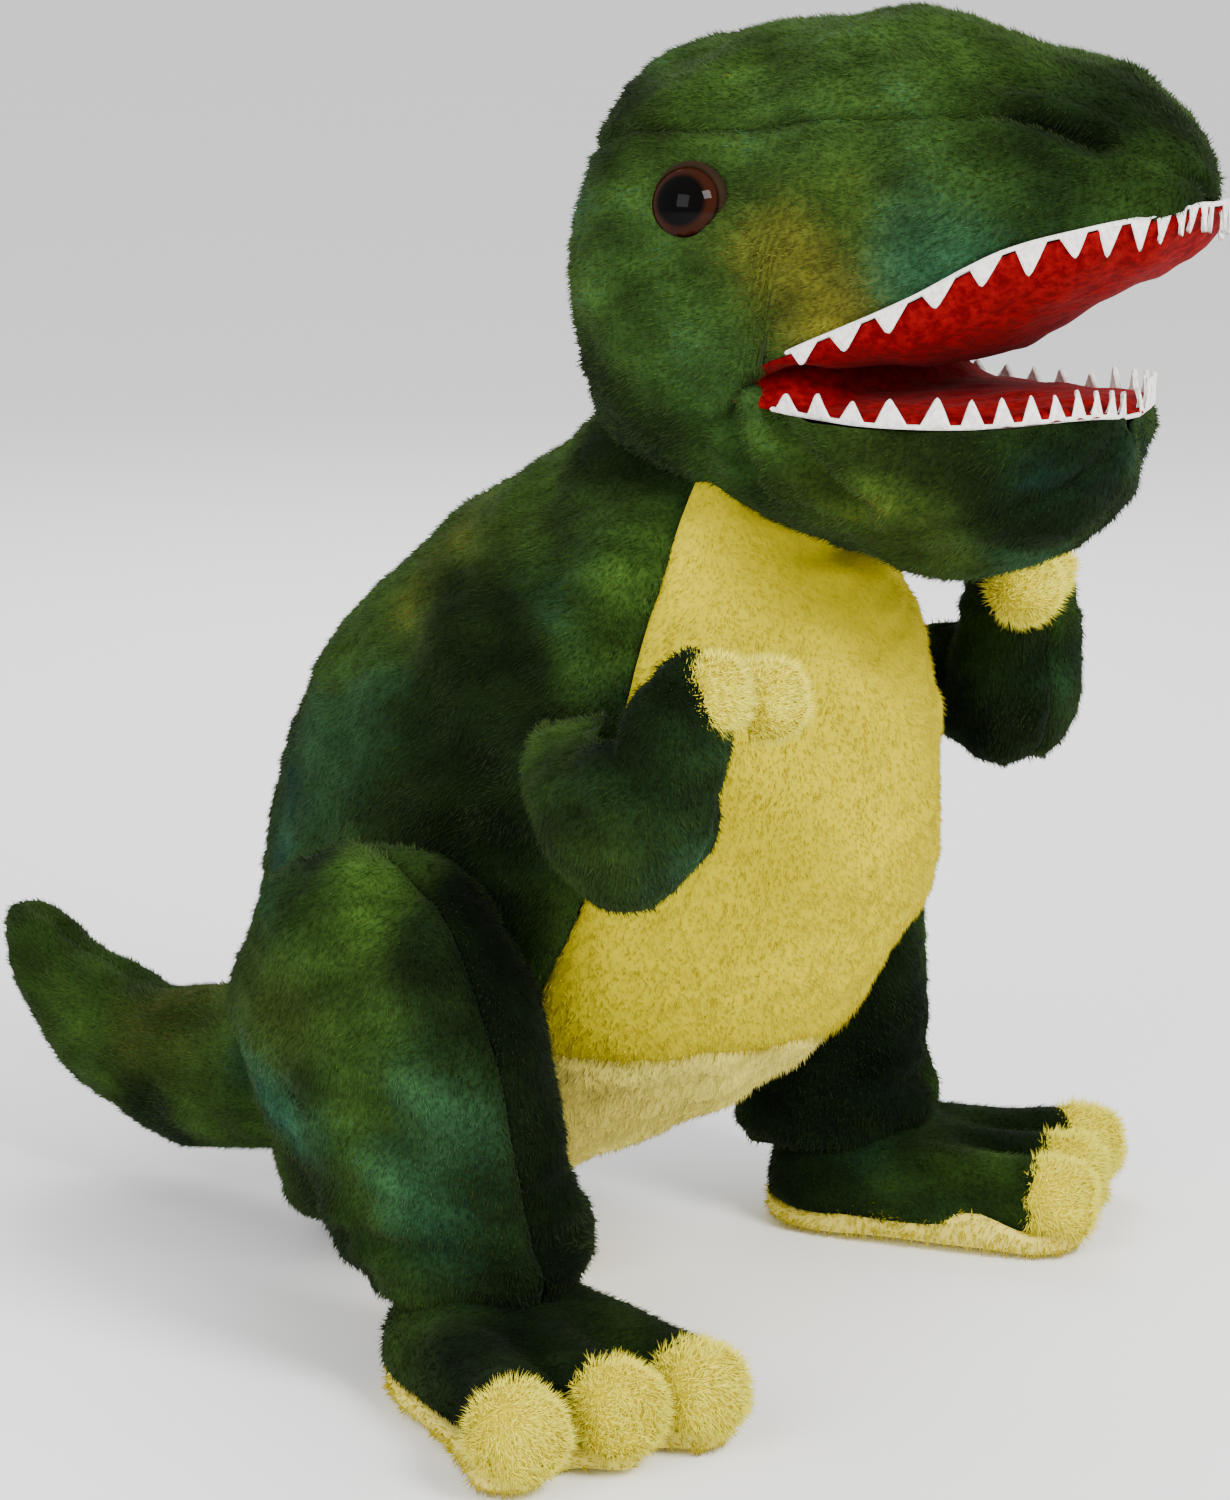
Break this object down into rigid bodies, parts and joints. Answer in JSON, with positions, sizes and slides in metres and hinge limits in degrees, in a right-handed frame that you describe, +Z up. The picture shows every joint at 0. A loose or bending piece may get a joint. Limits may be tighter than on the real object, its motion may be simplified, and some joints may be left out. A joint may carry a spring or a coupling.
{
  "type": "stuffed dinosaur",
  "caption": "Standing plush tyrannosaur with a soft opening mouth, movable head, arms, legs and tail, sewn from nap fabric panels over stuffing.",
  "frame": {"origin": "on the ground under the middle of the bounding box", "axes": "+Z up, the face looks along -Y, +X towards the toy's own left"},
  "size_m": [0.3012, 0.3829, 0.3404],
  "materials": {
    "green_plush": "short mottled green nap fabric",
    "dark_plush": "short dark green nap fabric",
    "belly_plush": "short yellow nap fabric",
    "cream_plush": "short pale cream nap fabric",
    "cap_plush": "longer fluffy yellow pile fabric",
    "red_felt": "matt red felt",
    "tooth_felt": "off-white stiff felt with cut edges",
    "stiff_board": "thin stiff board",
    "eye_plastic": "glossy brown and black moulded plastic",
    "washer_plastic": "plain moulded washer",
    "batting": "loose polyester stuffing"
  },
  "bodies": {
    "torso": {"torso_side_right": "green_plush", "torso_side_left": "green_plush", "belly_panel": "belly_plush", "underbelly_panel": "cream_plush", "torso_stuffing": "batting"},
    "neck": {"neck_stuffing": "batting"},
    "head": {"crown_panel": "green_plush", "head_side_right": "green_plush", "head_side_left": "green_plush", "head_stuffing": "batting", "palate_lining": "red_felt", "palate_board": "stiff_board", "upper_teeth": "tooth_felt", "eye_right": "eye_plastic", "eye_left": "eye_plastic", "eye_washer_right": "washer_plastic", "eye_washer_left": "washer_plastic"},
    "jaw": {"jaw_side_band": "green_plush", "chin_panel": "dark_plush", "jaw_lining": "red_felt", "jaw_board": "stiff_board", "lower_teeth": "tooth_felt", "jaw_stuffing": "batting"},
    "arm_right": {"sleeve_outer_right": "green_plush", "sleeve_inner_right": "dark_plush", "finger_caps_right": "cap_plush", "arm_stuffing_right": "batting"},
    "arm_left": {"sleeve_outer_left": "green_plush", "sleeve_inner_left": "dark_plush", "finger_caps_left": "cap_plush", "arm_stuffing_left": "batting"},
    "leg_right": {"leg_outer_right": "green_plush", "leg_inner_right": "dark_plush", "leg_stuffing_right": "batting", "foot_upper_right": "green_plush", "foot_stuffing_right": "batting", "toes_right": "green_plush", "toe_caps_right": "cap_plush", "foot_sole_right": "cap_plush"},
    "leg_left": {"leg_outer_left": "green_plush", "leg_inner_left": "dark_plush", "leg_stuffing_left": "batting", "foot_upper_left": "green_plush", "foot_stuffing_left": "batting", "toes_left": "green_plush", "toe_caps_left": "cap_plush", "foot_sole_left": "cap_plush"},
    "tail": {"tail_side_right": "green_plush", "tail_side_left": "green_plush", "tail_stuffing": "batting"}
  },
  "joints": [
    {"name": "head_turn", "type": "hinge", "parent": "torso", "child": "neck", "pos_m": [0, -0.0555, 0.236], "axis": [0, 0, 1], "range_deg": [-15, 15]},
    {"name": "head_nod", "type": "hinge", "parent": "neck", "child": "head", "pos_m": [0, -0.0555, 0.236], "axis": [-1, 0, 0], "range_deg": [-3, 8]},
    {"name": "jaw_hinge", "type": "hinge", "parent": "head", "child": "jaw", "pos_m": [0, -0.0905, 0.25], "axis": [1, 0, 0], "range_deg": [-10, 8]},
    {"name": "shoulder_right", "type": "hinge", "parent": "torso", "child": "arm_right", "pos_m": [-0.067, -0.0645, 0.162], "axis": [-1, 0, 0], "range_deg": [-35, 10]},
    {"name": "shoulder_left", "type": "hinge", "parent": "torso", "child": "arm_left", "pos_m": [0.067, -0.0645, 0.162], "axis": [-1, 0, 0], "range_deg": [-40, 0]},
    {"name": "hip_right", "type": "hinge", "parent": "torso", "child": "leg_right", "pos_m": [-0.064, -0.0085, 0.085], "axis": [-1, 0, 0], "range_deg": [-20, 20]},
    {"name": "hip_left", "type": "hinge", "parent": "torso", "child": "leg_left", "pos_m": [0.064, -0.0085, 0.085], "axis": [-1, 0, 0], "range_deg": [-20, 20]},
    {"name": "tail_swing", "type": "hinge", "parent": "torso", "child": "tail", "pos_m": [0, 0.0835, 0.043], "axis": [0, 0, 1], "range_deg": [-25, 25]}
  ]
}
